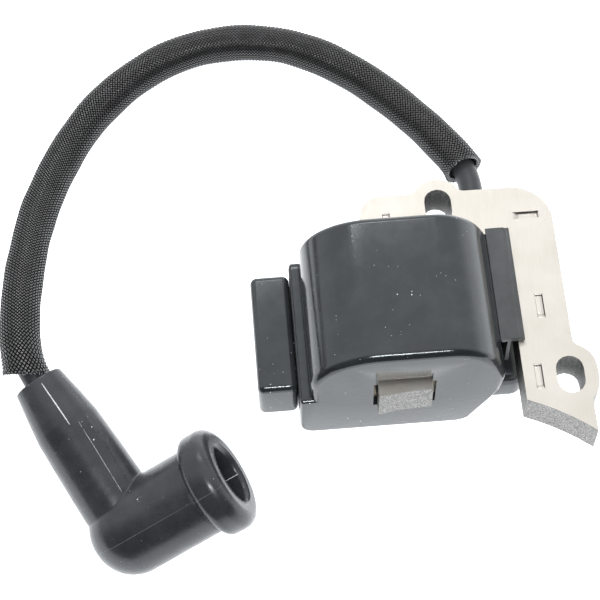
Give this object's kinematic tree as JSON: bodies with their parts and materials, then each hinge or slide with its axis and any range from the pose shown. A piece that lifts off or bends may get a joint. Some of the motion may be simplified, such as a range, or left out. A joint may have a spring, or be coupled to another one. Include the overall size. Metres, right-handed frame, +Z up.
{
  "type": "ignition coil",
  "caption": "Small-engine ignition coil: laminated U core, potted coil case with a side module, and a sleeved high-tension lead that ends in a rubber spark plug boot.",
  "frame": {"origin": "on the surface the coil lies on, under the middle of the core, case and module, leaving out the lead and its boot", "axes": "+Z up from the open side of the coil case to its crown, +Y along the core's legs away from the flywheel, +X across the legs from the side module to the bare leg"},
  "size_m": [0.1154, 0.1276, 0.0306],
  "materials": {
    "core_steel": "plated sheet, satin, cut edges",
    "case_plastic": "black, glossy, lightly moulded texture",
    "module_plastic": "black, semi-gloss",
    "wedge_plastic": "black, satin",
    "bobbin_plastic": "natural nylon",
    "copper": "enamelled copper wire",
    "resin": "cast epoxy",
    "board": "glass-epoxy laminate",
    "film": "dipped film capacitor",
    "chip": "moulded epoxy",
    "resistor": "lacquered ceramic",
    "brass": "plain",
    "spring_steel": "drawn wire",
    "lead_rubber": "smooth, satin",
    "braid": "braided monofilament",
    "boot_rubber": "moulded, dusty",
    "seal_rubber": "smooth"
  },
  "bodies": {
    "coil": {"core_lamination_01": "core_steel", "core_lamination_02": "core_steel", "core_lamination_03": "core_steel", "core_lamination_04": "core_steel", "core_lamination_05": "core_steel", "core_lamination_06": "core_steel", "core_lamination_07": "core_steel", "core_lamination_08": "core_steel", "core_lamination_09": "core_steel", "core_lamination_10": "core_steel", "core_lamination_11": "core_steel", "core_lamination_12": "core_steel", "core_lamination_13": "core_steel", "core_lamination_14": "core_steel", "core_lamination_15": "core_steel", "core_lamination_16": "core_steel", "coil_case": "case_plastic", "core_wedge": "wedge_plastic", "case_potting": "resin", "primary_bobbin": "bobbin_plastic", "primary_winding": "copper", "secondary_bobbin": "bobbin_plastic", "secondary_winding": "copper", "module_case": "module_plastic", "module_potting": "resin", "circuit_board": "board", "capacitor": "film", "power_transistor": "chip", "trigger_transistor": "chip", "resistor_1": "resistor", "resistor_2": "resistor", "diode": "chip", "kill_terminal": "brass", "ht_spike": "brass", "lead_seal": "seal_rubber", "ht_lead": "lead_rubber", "ht_conductor": "copper", "ht_sleeve": "braid", "lead_terminal": "brass"},
    "boot": {"plug_boot": "boot_rubber", "plug_spring": "spring_steel"}
  },
  "joints": [
    {"name": "boot_swivel", "type": "hinge", "parent": "coil", "child": "boot", "pos_m": [-0.07517, -0.00953, 0.01824], "axis": [-0.4961, 0.8232, 0.2761], "range_deg": [-60, 60]}
  ]
}
